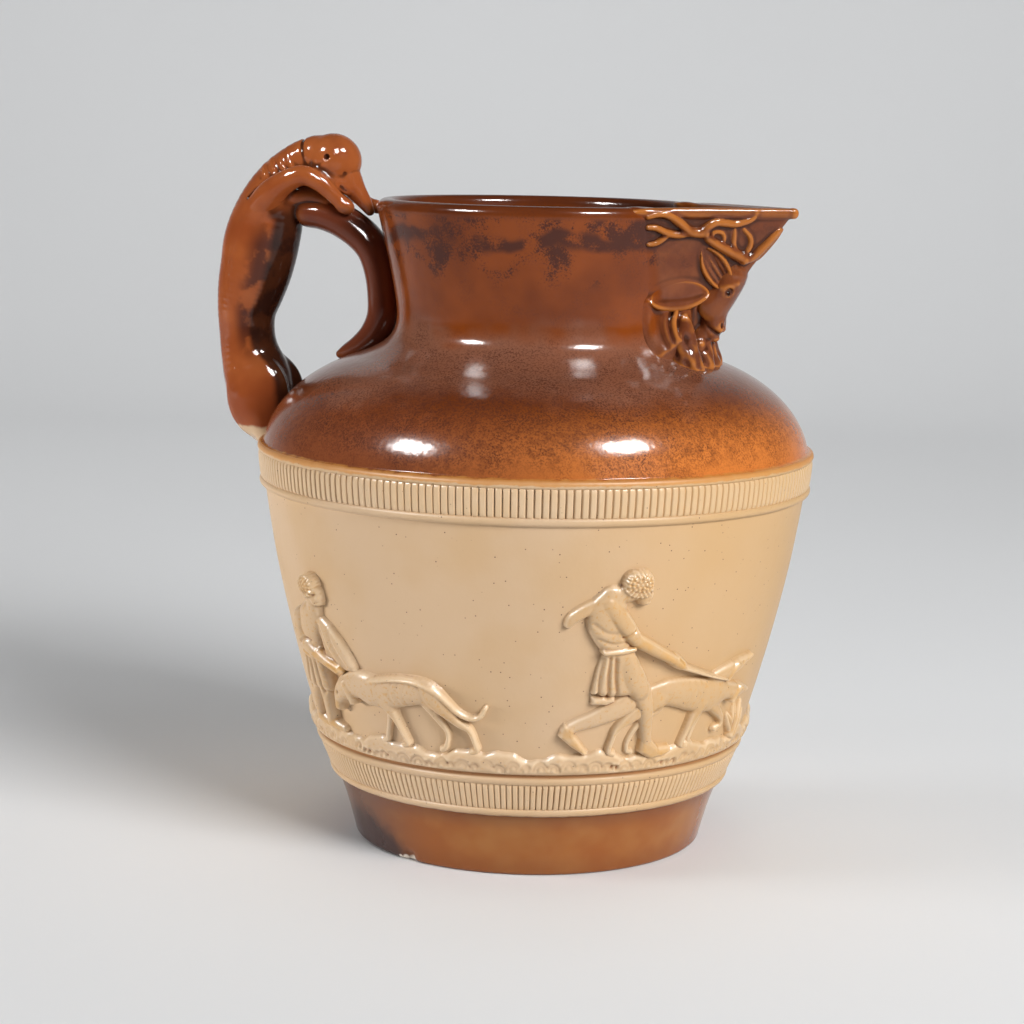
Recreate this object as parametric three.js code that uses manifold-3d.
// A salt-glazed stoneware hunting jug: a thrown body, with everything else made apart and luted on.
// Sizes are in mm. The jug stands on z = 0, its spout points along +X and its handle along -X.
import * as THREE from 'three';
import { mergeVertices } from 'three/addons/utils/BufferGeometryUtils.js';
import Module from 'manifold-3d';

const wasm = await Module();
wasm.setup();

const { degToRad, lerp, mapLinear } = THREE.MathUtils;

// The gap left between a luted piece and whatever it sits on
const CLEARANCE = 0.3;

// Thrown body
const SEGMENTS = 32;
const BASE_RADIUS = 47;
const BASE_CHAMFER = 1;
const FLOOR = 7;
const WALL = 5;
const BELLY_RADIUS = 73.8;
const BELLY_Z = 104;
// How the barrel swells from base to belly: share of the height, share of the swelling
const BARREL_SHAPE = [[0, 0], [0.15, 0.18], [0.45, 0.58], [0.75, 0.86], [1, 1]];
const SHOULDER_RISE = 29.5;
const SHOULDER_REACH = 44;
const SHOULDER_END = degToRad(67);
const NECK_RADIUS = 38;
const RIM_RADIUS = 43.8;
// Height of the neck's narrowest ring above the belly, and of the rim above that ring
const NECK_LIFT = 37;
const NECK_HEIGHT = 31.6;
const NECK_Z = BELLY_Z + NECK_LIFT;
const RIM_Z = NECK_Z + NECK_HEIGHT;

// Reeded bands, each between two turned cordons
const BAND_PROUD = 1.2;
const REED_DEPTH = 0.45;
const CORDON_HEIGHT = 2.2;
const LOWER_BAND_Z = 17.4;
const LOWER_BAND_HEIGHT = 11.4;
const LOWER_REEDS = 172;
// How far the upper band starts below the belly's widest ring
const UPPER_BAND_DROP = 8;
const UPPER_BAND_Z = BELLY_Z - UPPER_BAND_DROP;
const UPPER_BAND_HEIGHT = 11.6;
const UPPER_REEDS = 240;

// Frieze of sprigged figures standing on a ground strip
const GROUND_LIFT = 1;
const GROUND_HEIGHT = 4.6;
const GROUND_PROUD = 2.2;
const STRIDING_TURN = degToRad(-45);
const CLOAKED_TURN = degToRad(-110);

// Spout: a V-shaped lip that narrows and falls back downwards
const SPOUT_REACH = 69.8;
const SPOUT_HALF = 26;
const SPOUT_DEPTH = 44.6;
const SPOUT_FOOT_Z = RIM_Z - SPOUT_DEPTH;
const SPOUT_FOOT_REACH = 38;
const SPOUT_FOOT_HALF = 7.5;
const SPOUT_CURVE = 1.3;
const SPOUT_WALL = 3.8;
const CHANNEL_DEPTH = 30.6;

// Greyhound's collar
const COLLAR_PROUD = 1.5;

const SIDEWAYS = new THREE.Vector3(0, 1, 0);
const BROWN_GLAZE = { color: 0x8a4526, roughness: 0.25, metalness: 0 };
const BUFF_CLAY = { color: 0xd2b48f, roughness: 0.42, metalness: 0 };
const OCHRE_CLAY = { color: 0xcaa878, roughness: 0.4, metalness: 0 };

const v2 = (x, y) => new THREE.Vector2(x, y);
const v3 = (x, y, z) => new THREE.Vector3(x, y, z);

// Turns a closed geometry into a solid that can be joined and cut
function solid(geometry) {
  const bare = geometry.clone();
  bare.deleteAttribute('normal');
  bare.deleteAttribute('uv');
  const merged = mergeVertices(bare, 1e-4);
  const index = merged.index.array;
  const kept = [];
  for (let i = 0; i < index.length; i += 3) {
    const [a, b, c] = index.slice(i, i + 3);
    if (a !== b && b !== c && c !== a) kept.push(a, b, c);
  }
  return new wasm.Manifold(new wasm.Mesh({
    numProp: 3,
    vertProperties: merged.attributes.position.array,
    triVerts: new Uint32Array(kept),
  }));
}

const unite = (parts) => parts.reduce((whole, part) => whole.add(part));
const cut = (part, tools) => tools.reduce((left, tool) => left.subtract(tool), part);

function mesh(name, part, finish) {
  const { vertProperties, triVerts } = part.getMesh();
  const geometry = new THREE.BufferGeometry();
  geometry.setAttribute('position', new THREE.BufferAttribute(vertProperties, 3));
  geometry.setIndex(new THREE.BufferAttribute(triVerts, 1));
  geometry.computeVertexNormals();
  const made = new THREE.Mesh(geometry, new THREE.MeshStandardMaterial(finish));
  made.name = name;
  return made;
}

// A solid turned about the jug's axis from a profile of [radius, height] points
function turned(profile) {
  return solid(new THREE.LatheGeometry(profile, SEGMENTS).rotateX(Math.PI / 2));
}

// Moves every vertex of a geometry to where place(x, y, z) puts it
function reshape(geometry, place) {
  const position = geometry.attributes.position;
  for (let i = 0; i < position.count; i += 1) {
    const to = place(position.getX(i), position.getY(i), position.getZ(i));
    position.setXYZ(i, to.x, to.y, to.z);
  }
  return geometry;
}

// A blunt-ended rod through stations { at, up, wide, high }: high is its half size along up, wide across it.
// Its underside stops at floor times high, which is -1 on a full round and 0 on a rod that lies flat.
function rod(stations, sides, steps, floor = -1) {
  const line = new THREE.CatmullRomCurve3(stations.map((s) => s.at));
  const sizes = new THREE.CatmullRomCurve3(stations.map((s) => v3(s.wide, s.high, 0)));
  const ups = new THREE.CatmullRomCurve3(stations.map((s) => s.up));
  return solid(reshape(new THREE.CylinderGeometry(1, 1, 1, sides, steps), (x, y, z) => {
    const t = 0.5 - y;
    const size = sizes.getPoint(t).multiplyScalar(t === 0 || t === 1 ? 0.6 : 1);
    const along = line.getTangent(t);
    const across = ups.getPoint(t).cross(along).normalize();
    const out = along.clone().cross(across);
    const rise = Math.max(z, floor) * size.y;
    return line.getPoint(t).addScaledVector(across, x * size.x).addScaledVector(out, rise);
  }));
}

// An ellipsoid with half sizes along its length, across it and outwards
function boss(at, along, out, [length, width, height]) {
  const across = out.clone().cross(along).normalize();
  const lengthwise = across.clone().cross(out).normalize();
  const frame = new THREE.Matrix4().makeBasis(lengthwise, across, out).setPosition(at);
  const ball = new THREE.SphereGeometry(1, 8, 5).rotateX(Math.PI / 2);
  return solid(ball.scale(length, width, height).applyMatrix4(frame));
}

// Thrown body

function barrelCurve() {
  const swell = BELLY_RADIUS - BASE_RADIUS;
  return new THREE.SplineCurve(
    BARREL_SHAPE.map(([height, share]) => v2(BASE_RADIUS + swell * share, BELLY_Z * height)),
  );
}

function shoulderCurve() {
  const centre = BELLY_RADIUS - SHOULDER_REACH;
  return new THREE.EllipseCurve(centre, BELLY_Z, SHOULDER_REACH, SHOULDER_RISE, 0, SHOULDER_END);
}

function neckCurve() {
  const foot = shoulderCurve().getPoint(1);
  const flare = RIM_RADIUS - NECK_RADIUS;
  const rise = RIM_Z - WALL / 2 - NECK_Z;
  return new THREE.SplineCurve([
    foot,
    v2(lerp(NECK_RADIUS, foot.x, 0.25), lerp(foot.y, NECK_Z, 0.42)),
    v2(NECK_RADIUS, NECK_Z),
    v2(NECK_RADIUS + flare * 0.3, NECK_Z + rise * 0.42),
    v2(RIM_RADIUS, NECK_Z + rise),
  ]);
}

// The outer face of the wall, from the foot to just under the lip
const OUTER = [
  ...barrelCurve().getPoints(7),
  ...shoulderCurve().getPoints(5).slice(1),
  ...neckCurve().getPoints(6).slice(1),
];

// The same face moved outwards by a distance, or inwards if it is negative
function offsetWall(distance) {
  return OUTER.map((point, i) => {
    const before = OUTER[Math.max(i - 1, 0)];
    const after = OUTER[Math.min(i + 1, OUTER.length - 1)];
    const along = after.clone().sub(before).normalize();
    return v2(point.x + along.y * distance, point.y - along.x * distance);
  });
}

// Radius of the outer face at a height
function wallRadius(z) {
  const above = OUTER.findIndex((point) => point.y >= z);
  const i = above < 0 ? OUTER.length - 1 : Math.max(1, above);
  return mapLinear(z, OUTER[i - 1].y, OUTER[i].y, OUTER[i - 1].x, OUTER[i].x);
}

// The whole outside of the jug without its hollow, grown by a clearance
function blank(grow) {
  const face = offsetWall(grow);
  const top = RIM_Z + grow;
  return turned([v2(0, -grow), v2(face[0].x, -grow), ...face, v2(face.at(-1).x, top), v2(0, top)]);
}

// The room taken by a band and its cordons, with a clearance all round
function bandBlank(bandZ, bandHeight) {
  const [low, high] = [bandZ - CLEARANCE, bandZ + bandHeight + CLEARANCE];
  const between = OUTER.map((point) => point.y).filter((z) => z > low && z < high);
  const face = [low, ...between, high].map((z) => v2(wallRadius(z) + BAND_PROUD + CLEARANCE, z));
  return turned([v2(0, low), ...face, v2(0, high)]);
}

// The profile of a plain ring that stands proud of the wall
function cordon(z) {
  const ease = CORDON_HEIGHT / 4;
  const point = (height, proud) => v2(wallRadius(height) + proud, height);
  const top = z + CORDON_HEIGHT;
  return [point(z, 0), point(z + ease, BAND_PROUD), point(top - ease, BAND_PROUD), point(top, 0)];
}

const cordonsOf = (z, height) => [cordon(z), cordon(z + height - CORDON_HEIGHT)];

// The outer face with its four cordons worked in
function cordonedWall() {
  const cordons = [
    ...cordonsOf(LOWER_BAND_Z, LOWER_BAND_HEIGHT), ...cordonsOf(UPPER_BAND_Z, UPPER_BAND_HEIGHT),
  ];
  const covered = (z) => cordons.some((ring) => z >= ring[0].y && z <= ring.at(-1).y);
  const bare = OUTER.filter((point) => point.y > BASE_CHAMFER && !covered(point.y));
  return [...bare, ...cordons.flat()].sort((a, b) => a.y - b.y);
}

function thrownBody() {
  const foot = [v2(0, 0), v2(BASE_RADIUS - BASE_CHAMFER, 0), v2(wallRadius(BASE_CHAMFER), BASE_CHAMFER)];
  const lipZ = RIM_Z - WALL / 2;
  const lip = new THREE.EllipseCurve(RIM_RADIUS - WALL / 2, lipZ, WALL / 2, WALL / 2, 0, Math.PI).getPoints(4);
  const hollow = (point, i) => i % 2 === 0 && point.y > FLOOR + WALL && point.y < lipZ;
  const inside = offsetWall(-WALL).filter(hollow).reverse();
  const corner = v2(wallRadius(FLOOR) - 1.4 * WALL, FLOOR);
  const shell = turned([...foot, ...cordonedWall(), ...lip.slice(1), ...inside, corner, v2(0, FLOOR)]);
  return shell.subtract(spoutChannel());
}

// A strip of upright reeds filling the room between the two cordons of a band
function reededStrip(bandZ, bandHeight, reeds) {
  const z = bandZ + CORDON_HEIGHT + CLEARANCE;
  const height = bandHeight - 2 * (CORDON_HEIGHT + CLEARANCE);
  const ring = (count, radius) => Array.from({ length: count }, (_, i) => {
    const angle = (2 * Math.PI * i) / count;
    return v2(radius(i) * Math.cos(angle), radius(i) * Math.sin(angle));
  });
  const crest = wallRadius(z) + BAND_PROUD;
  const shape = new THREE.Shape(ring(2 * reeds, (i) => (i % 2 ? crest : crest - REED_DEPTH)));
  shape.holes.push(new THREE.Path(ring(SEGMENTS, () => wallRadius(z) + CLEARANCE)));
  const straight = new THREE.ExtrudeGeometry(shape, { depth: height, bevelEnabled: false });
  return solid(reshape(straight, (x, y, up) => {
    const radius = Math.hypot(x, y);
    const scale = (radius + wallRadius(z + up) - wallRadius(z)) / radius;
    return v3(x * scale, y * scale, z + up);
  }));
}

// Sprigs: figures pressed in moulds and laid on the wall

const GROUND_Z = LOWER_BAND_Z + LOWER_BAND_HEIGHT + GROUND_LIFT;
const FEET_Z = GROUND_Z + GROUND_HEIGHT + CLEARANCE;
const FRIEZE_RADIUS = wallRadius(FEET_Z + 20);
// How far the round wall bulges above the longest straight span of a limb
const LIMB_SPAN = 10;
const LIMB_BED = CLEARANCE + LIMB_SPAN ** 2 / (8 * FRIEZE_RADIUS);

// A limb through [along the wall, above the feet, half width, relief] stations, flat where it meets the wall.
// Grown by a clearance, as a cutter, it is round and reaches into the wall.
function limb(turn, stations, grow) {
  return rod(stations.map(([along, z, width, relief]) => {
    const angle = turn + along / FRIEZE_RADIUS;
    const lean = (wallRadius(FEET_Z + z + width) - wallRadius(FEET_Z + z - width)) / (2 * width);
    const up = v3(Math.cos(angle), Math.sin(angle), -lean).normalize();
    const foot = v3(Math.cos(angle), Math.sin(angle), 0).multiplyScalar(wallRadius(FEET_Z + z)).setZ(FEET_Z + z);
    return { at: foot.addScaledVector(up, LIMB_BED), up, wide: width + grow, high: relief + grow };
  }), 5, stations.length - 1, grow > 0 ? -1 : 0);
}

const figure = (turn, list, grow = 0) => unite(list.map((stations) => limb(turn, stations, grow)));

const STRIDING_HUNTSMAN = [
  [[-7.6, 42.6, 2.6, 2.6], [-7.6, 45, 3.9, 3.4], [-6.8, 48.6, 3.8, 3.2], [-6.6, 51, 2, 2.4]],
  [[-8, 43.5, 2.2, 2.4], [-12, 40, 5, 3.4], [-11.4, 35.5, 4.6, 3.2], [-9.8, 30, 3.6, 2.8]],
  [[-13, 42, 2.6, 2.6], [-18.5, 40.6, 2.2, 2.2], [-23.4, 36.8, 2, 2]],
  [[-12, 40, 3, 4.4], [-7.8, 36, 2.8, 4.4], [-1.5, 30.3, 2.1, 3.8], [6, 26, 1.8, 3.2]],
  [[4, 26.8, 1.2, 2.4], [12, 23.2, 0.8, 1.6], [19.6, 20.6, 0.8, 1.6]],
  [[-9.8, 31, 3.6, 2.8], [-8.2, 24, 6, 3.6], [-7.2, 17, 7.8, 3.8]],
  [[-2.4, 19, 3.2, 3.8], [0.4, 13, 2.6, 4.2], [1.6, 7, 2.1, 4.2], [3, 2.2, 2, 4], [10.6, 1.2, 1.2, 2.4]],
  [[-7.5, 17, 3.6, 3.4], [-14, 12.2, 2.6, 3], [-21.6, 7.4, 2.1, 2.8], [-15.6, 1.8, 1.2, 2.2]],
];

const HOUND_PAIR = [
  [[0.5, 15.6, 3, 2.2], [8, 16.2, 4, 2.7], [17, 15.6, 4.5, 3], [27, 14, 3.4, 2.6]],
  [[24, 14.8, 3, 2.6], [31, 14, 2.2, 2.4], [35, 13.6, 1.9, 2.2], [39, 12.8, 1.1, 1.6]],
  [[22, 16.5, 3, 2], [28, 20, 1.9, 2], [32, 21.8, 1.8, 2], [37, 22.8, 1, 1.5]],
  [[18, 13.5, 2.4, 2.4], [16, 6.5, 1.1, 1.9], [14.8, 1.3, 1, 1.8]],
  [[23, 12.5, 2, 2.2], [29.6, 7.4, 1.1, 1.8], [27.6, 4.2, 0.9, 1.6]],
  [[3, 15, 3, 2.2], [-3, 10.6, 1.7, 2], [-7.4, 7.4, 1.2, 1.9], [-8.6, 1.3, 1, 1.8]],
];

const PLANT_TUFT = [
  [[39, 1.6, 1.4, 1.6], [36.6, 3.8, 1.3, 1.6], [34.8, 6.2, 0.7, 1.2]],
  [[39.6, 0.5, 1.8, 2.2], [40, 4.6, 1.5, 2], [41.2, 8.6, 0.7, 1.2]],
  [[40.4, 1.4, 1.4, 1.7], [42.8, 2.9, 1.3, 1.7], [45.4, 5.4, 0.7, 1.2]],
];

const CLOAKED_HUNTSMAN = [
  [[-18.4, 33, 2.4, 2.4], [-18.2, 35.2, 3.5, 3.2], [-17.2, 38.8, 3.4, 3], [-17, 41.2, 1.9, 2.2]],
  [[-19, 34, 2.4, 2.6], [-21.6, 30.5, 4.8, 3.4], [-22.6, 25.5, 4.6, 3.2], [-22.2, 20, 4, 3]],
  [[-23.5, 31, 2.8, 4.2], [-21.4, 25.6, 2.5, 4.2], [-16.4, 20.4, 2.1, 3.8], [-12.8, 18.6, 1.8, 3.6]],
  [[-19, 30.6, 3, 2.8], [-14.2, 25, 3.6, 2.8], [-10.6, 20.8, 2.2, 2.4]],
  [[-22.2, 22, 4, 3], [-22.6, 16.5, 5.8, 3.6], [-22.8, 12.5, 6.4, 3.6]],
  [[-25, 15, 3, 3.4], [-28.2, 7.5, 2.1, 3.2], [-28.8, 2.2, 1.9, 3], [-24.4, 1.2, 1.2, 2.2]],
  [[-20.4, 15, 3, 3.4], [-21, 7.5, 2.1, 3], [-21.6, 2.2, 1.9, 2.8], [-17.4, 1.2, 1.2, 2.2]],
];

const TURNING_HOUND = [
  [[-7.5, 12.6, 4.2, 2.8], [0, 14.2, 4.4, 3], [8, 15.4, 4, 2.9], [18.5, 15, 2.8, 2.4]],
  [[-5, 13.4, 3.8, 2.8], [-10.4, 10.6, 2.7, 2.6], [-13.6, 8.4, 2.1, 2.4], [-17, 6, 1.2, 1.8]],
  [[4, 12.5, 2.4, 2.4], [2, 5.6, 1.2, 1.9], [0, 1.2, 1, 1.8]],
  [[6, 12.5, 2.4, 2.4], [8, 5.8, 1.2, 1.9], [8.4, 1.2, 1, 1.8]],
  [[16.5, 15, 3, 2.4], [21.6, 10, 1.9, 2.2], [26.4, 7.6, 1.2, 1.9], [29, 1.3, 1, 1.8]],
  [[16.5, 17, 1.6, 1.8], [23.6, 12.6, 0.9, 1.5], [28, 10.4, 0.8, 1.4], [31.6, 13.6, 0.7, 1.2]],
];

// The ground strip of one side, half way round the jug
function groundStrip(wall) {
  const [low, high] = [GROUND_Z, GROUND_Z + GROUND_HEIGHT];
  const face = (z, proud) => v2(wallRadius(z) + proud, z);
  const ring = turned([
    face(low, 0), face(low, GROUND_PROUD * 0.8), face(lerp(low, high, 0.4), GROUND_PROUD),
    face(high, GROUND_PROUD * 0.6), face(high, 0), face(low, 0),
  ]);
  const span = 3 * BELLY_RADIUS;
  const half = new THREE.BoxGeometry(span, span, span).translate(0, -(span + CLEARANCE) / 2, 0);
  return ring.intersect(solid(half)).subtract(wall);
}

// The ground strip and five sprigs of one side, as they lie on its front
function friezeSide(label, wall) {
  const striding = figure(STRIDING_TURN, STRIDING_HUNTSMAN);
  const grownPair = figure(STRIDING_TURN, HOUND_PAIR, CLEARANCE);
  const side = new THREE.Group();
  side.add(
    mesh(`ground_strip_${label}`, groundStrip(wall), OCHRE_CLAY),
    mesh(`striding_huntsman_${label}`, striding.subtract(grownPair), OCHRE_CLAY),
    mesh(`hound_pair_${label}`, figure(STRIDING_TURN, HOUND_PAIR), OCHRE_CLAY),
    mesh(`plant_tuft_${label}`, figure(STRIDING_TURN, PLANT_TUFT), OCHRE_CLAY),
    mesh(`cloaked_huntsman_${label}`, figure(CLOAKED_TURN, CLOAKED_HUNTSMAN), OCHRE_CLAY),
    mesh(`turning_hound_${label}`, figure(CLOAKED_TURN, TURNING_HOUND), OCHRE_CLAY),
  );
  return side;
}

// Spout with the stag's head

const SPOUT_BACK = Math.sqrt(RIM_RADIUS ** 2 - SPOUT_HALF ** 2);
const spoutShare = (z) => (z - SPOUT_FOOT_Z) / (RIM_Z - SPOUT_FOOT_Z);
const spoutHalf = (z) => lerp(SPOUT_FOOT_HALF, SPOUT_HALF, spoutShare(z));
const spoutFront = (z) => lerp(SPOUT_FOOT_REACH, SPOUT_REACH, Math.max(spoutShare(z), 0) ** SPOUT_CURVE);

// The V form between two heights, its faces moved inwards by a thickness
function spoutForm(thickness, low, high) {
  const flank = [[0.9, 0.1], [0.5, 0.5], [0, 1], [-0.8, 1]];
  const vee = new THREE.Shape([
    v2(1, 0), ...flank.map(([u, v]) => v2(u, v)), ...flank.reverse().map(([u, v]) => v2(u, -v)),
  ]);
  const block = new THREE.ExtrudeGeometry(vee, { depth: 1, steps: 5, bevelEnabled: false });
  return solid(reshape(block, (u, v, t) => {
    const z = lerp(low, high, t);
    const half = spoutHalf(z) - 1.2 * thickness;
    const front = spoutFront(z) - 1.6 * thickness;
    return v3(lerp(SPOUT_BACK, front, u), v * half, z);
  }));
}

const spoutChannel = () => spoutForm(SPOUT_WALL, RIM_Z - CHANNEL_DEPTH, RIM_Z + WALL);
const grownSpout = () => spoutForm(-CLEARANCE, SPOUT_FOOT_Z, RIM_Z);

// A point on a flank of the spout: share of the way from neck to nose, drop from the rim, height raised
function onFlank(side, share, drop, raise) {
  const z = RIM_Z - drop;
  return v3(lerp(SPOUT_BACK, spoutFront(z), share), side * ((1 - share) * spoutHalf(z) + raise), z);
}

function flankOut(side) {
  return v3(SPOUT_HALF, side * (SPOUT_REACH - SPOUT_BACK), -SPOUT_HALF / 2).normalize();
}

// A roll of clay that seals the foot of the spout: [beyond the spout's half width, above its foot]
function seamRoll(side) {
  return rod([[-1.6, 15], [-0.8, 12], [1.6, 9], [5, 6.4], [8, 3.6]].map(([beyond, rise]) => {
    const z = SPOUT_FOOT_Z + rise;
    const y = spoutHalf(z) + beyond;
    const at = v3(Math.sqrt((wallRadius(z) + 0.6) ** 2 - y ** 2), side * y, z);
    return { at, up: v3(at.x, at.y, 0).normalize(), wide: 2.2, high: 1.7 };
  }), 6, 5);
}

function spout(wall) {
  const form = spoutForm(0, SPOUT_FOOT_Z, RIM_Z);
  return cut(unite([form, seamRoll(-1), seamRoll(1)]), [spoutChannel(), wall]);
}

// A rod in the middle plane through [[x, z], half size in the plane, half size across] stations
function spine(stations, sides, steps, grow = 0) {
  return rod(stations.map(([[x, z], inPlane, across]) => (
    { at: v3(x, 0, z), up: SIDEWAYS, wide: inPlane + grow, high: across + grow }
  )), sides, steps);
}

// A place in the middle plane ahead of the spout's nose, by its drop from the rim or rise from the foot
const offNose = (ahead, drop) => [spoutFront(RIM_Z - drop) + ahead, RIM_Z - drop];
const offSpoutFoot = (ahead, rise) => [spoutFront(SPOUT_FOOT_Z + rise) + ahead, SPOUT_FOOT_Z + rise];

function stagFace(grow = 0) {
  return spine([
    [offNose(-4.4, 13), 4, 6], [offNose(-2, 17.6), 5.2, 7.2], [offNose(0.5, 23), 4.7, 6.2],
    [offNose(1.5, 28.2), 3.9, 4.8], [offNose(3.4, 32.2), 3, 3.6], [offNose(4.4, 35), 1.6, 2.4],
  ], 10, 8, grow);
}

function stagHead(wall) {
  const ruff = spine([
    [offSpoutFoot(-3.6, 19), 3, 8.4], [offSpoutFoot(2.1, 11.5), 3.2, 9.6],
    [offSpoutFoot(6.4, 5.6), 3.6, 9.4], [offSpoutFoot(9, 1.4), 3, 7.6],
  ], 10, 5);
  return cut(stagFace().add(ruff), [grownSpout(), wall]);
}

// An antler's tines through [share along the flank, drop from the rim, half thickness] stations
const TINES = [
  [[0.09, 3, 1], [0.21, 3.2, 1.5], [0.34, 6, 1.8], [0.45, 6.2, 1.9], [0.6, 9.4, 2], [0.88, 13, 2.2]],
  [[0.42, 6.6, 1.7], [0.53, 4, 1.6], [0.67, 4.2, 1.4], [0.76, 2.4, 0.9]],
  [[0.1, 5.8, 1], [0.21, 6.8, 1.2], [0.36, 6.4, 1.5]],
  [[0.1, 9.6, 0.9], [0.17, 8.8, 1.1], [0.24, 7, 1.1]],
  [[0.84, 13.4, 1.8], [0.94, 9.6, 1.6], [0.97, 5.6, 1]],
  [[0.76, 12, 1.5], [0.77, 8.6, 1.2], [0.74, 6, 0.8]],
];

function antlerForm(side, grow = 0) {
  return unite(TINES.map((stations) => rod(stations.map(([share, drop, thick]) => ({
    at: onFlank(side, share, drop, 0), up: flankOut(side), wide: thick + grow, high: 1.7 * thick + grow,
  })), 5, stations.length - 1, grow > 0 ? -1 : 0)));
}

function leafForm(side, grow = 0) {
  const size = [5.4, 3.6, 2.6].map((half) => half + grow);
  return boss(onFlank(side, 0.66, 15.8, 0.8), v3(-0.15, 0, 1), flankOut(side), size);
}

function lowEarForm(side) {
  return boss(onFlank(side, 0.44, 22, 0.8), v3(1, -side * 0.7, 0.16), flankOut(side), [7.6, 3.2, 2.8]);
}

// Handle: a greyhound climbing to the rim, with its forepaws on a branch

const offBelly = (out, up) => [-(BELLY_RADIUS + out), BELLY_Z + up];
const offRim = (out, up) => [-(RIM_RADIUS + out), RIM_Z + up];
const offNeck = (out, up) => [-(wallRadius(NECK_Z + up) + out), NECK_Z + up];

const NECK_FOLDS = [[offRim(32, 4.2), 6.8, 6.6], [offRim(29.6, 6.4), 5.7, 5.6], [offRim(26.6, 8.4), 5.6, 5.5]];
const GREYHOUND = [
  [offBelly(-4.5, 3), 8, 9], [offBelly(6, 8), 8.6, 9.8], [offBelly(8.4, 17), 8.8, 9.4],
  [offBelly(11.6, 27.5), 7.3, 7.2], [offBelly(12.4, 37.5), 7.2, 7.4], [offRim(41.4, -20), 8, 8],
  [offRim(38.4, -9), 8.7, 8.6], [offRim(34.8, 0), 7.6, 7.4], [offRim(29.6, 6.4), 5.7, 5.6],
  [offRim(23.6, 9.6), 5.9, 5.8], [offRim(16.8, 9.2), 7, 7], [offRim(11.6, 4.6), 5.2, 5],
  [offRim(8, -0.4), 3.2, 3.2], [offRim(6, -3.6), 2, 2.2],
];

function greyhound(grow = 0) {
  const lump = (side, [x, z], y, along, [length, width, height]) => (
    boss(v3(x, side * y, z), along, v3(0, side, 0), [length + grow, width + grow, height + grow])
  );
  const thigh = (side) => lump(side, offBelly(6.2, 13), 6.4, v3(0.2, 0, 1), [10.5, 8.4, 4.6]);
  const ear = (side) => lump(side, offRim(19.6, 9.8), 5.4, v3(1, 0, 0.35), [4, 2.6, 2.2]);
  const trunk = spine(GREYHOUND, 10, 22, grow);
  return unite([trunk, thigh(-1), thigh(1), ear(-1), ear(1)]);
}

const collarForm = (grow) => spine(NECK_FOLDS, 10, 3, COLLAR_PROUD + grow);

// Forelegs through [[x, z], out to the side, half thickness] stations; the far one reaches the rim
const UPPER_FORELEG = [
  [offRim(35.6, -3.2), 7.4, 3.6], [offRim(29.8, 1.6), 9, 3], [offRim(24, 4.4), 9.2, 2.7], [offRim(18.6, 4.8), 8.8, 2.5],
];
const NEAR_FORELEG = [...UPPER_FORELEG, [offRim(14.6, 1), 7.2, 2.3], [offRim(11, -2.8), 5.2, 2.2]];
const FAR_FORELEG = [...UPPER_FORELEG, [offRim(9.6, 0.8), 6.8, 2.3], [offRim(1, -1.2), 5.2, 2.1]];

function foreleg(side, stations, grow = 0) {
  return rod(stations.map(([[x, z], y, thick]) => (
    { at: v3(x, side * y, z), up: SIDEWAYS, wide: thick + grow, high: thick + grow }
  )), 8, 7);
}

function branch() {
  return spine([
    [offRim(28.6, -6.4), 4, 5.6], [offRim(20.4, -5.4), 4.5, 6.4], [offRim(13.8, -7.2), 4.7, 6.8],
    [offRim(8.2, -9.2), 4.9, 6.8], [offNeck(7, 17.6), 4.9, 6.2], [offNeck(5, 11), 4.8, 5.6],
    [offNeck(4.6, 4.4), 4.7, 5.4], [offNeck(5, -2), 4.7, 5.4], [offNeck(5.6, -6.6), 4.2, 5.2],
    [offNeck(5.6, -9.4), 3.4, 4.8], [offNeck(6, -11.2), 2.6, 4],
  ], 8, 15);
}

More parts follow.
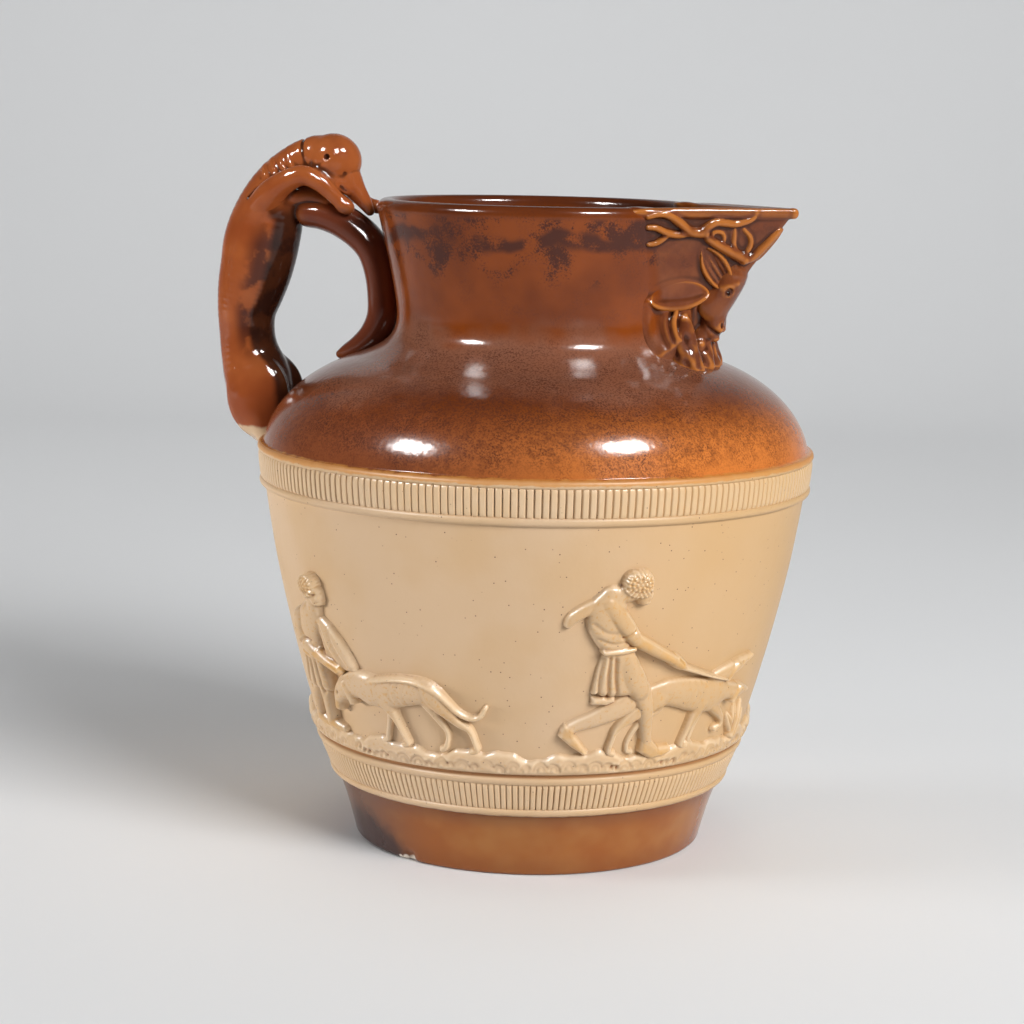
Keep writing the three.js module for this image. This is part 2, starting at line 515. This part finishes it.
// The jug

const wall = blank(CLEARANCE);
const upperBand = bandBlank(UPPER_BAND_Z, UPPER_BAND_HEIGHT);
const grownHound = greyhound(CLEARANCE);
const legTools = [grownHound, collarForm(CLEARANCE), wall];
const branchTools = [wall, grownHound, foreleg(-1, NEAR_FORELEG, CLEARANCE), foreleg(1, FAR_FORELEG, CLEARANCE)];
const maskTools = [grownSpout(), stagFace(CLEARANCE)];
const back = friezeSide('back', wall);
back.rotation.z = Math.PI;

const jug = new THREE.Group();
jug.name = 'hunting_jug';
jug.add(
  mesh('thrown_body', thrownBody(), BUFF_CLAY),
  mesh('lower_reeded_band', reededStrip(LOWER_BAND_Z, LOWER_BAND_HEIGHT, LOWER_REEDS), OCHRE_CLAY),
  mesh('upper_reeded_band', reededStrip(UPPER_BAND_Z, UPPER_BAND_HEIGHT, UPPER_REEDS), OCHRE_CLAY),
  friezeSide('front', wall),
  back,
  mesh('spout', spout(wall), BROWN_GLAZE),
  mesh('stag_head', stagHead(wall), BROWN_GLAZE),
  mesh('greyhound_handle', cut(greyhound(), [wall, upperBand]), BROWN_GLAZE),
  mesh('greyhound_collar', cut(collarForm(0), [grownHound]), BROWN_GLAZE),
  mesh('greyhound_right_foreleg', cut(foreleg(-1, NEAR_FORELEG), legTools), BROWN_GLAZE),
  mesh('greyhound_left_foreleg', cut(foreleg(1, FAR_FORELEG), legTools), BROWN_GLAZE),
  mesh('branch_bracket', cut(branch(), branchTools), BROWN_GLAZE),
);
for (const [label, side] of [['right', -1], ['left', 1]]) {
  const leafTools = [...maskTools, antlerForm(side, CLEARANCE)];
  const lowEarTools = [...maskTools, leafForm(side, CLEARANCE), wall];
  jug.add(
    mesh(`stag_antler_${label}`, cut(antlerForm(side), maskTools), BROWN_GLAZE),
    mesh(`stag_leaf_ear_${label}`, cut(leafForm(side), leafTools), BROWN_GLAZE),
    mesh(`stag_low_ear_${label}`, cut(lowEarForm(side), lowEarTools), BROWN_GLAZE),
  );
}

export default jug;
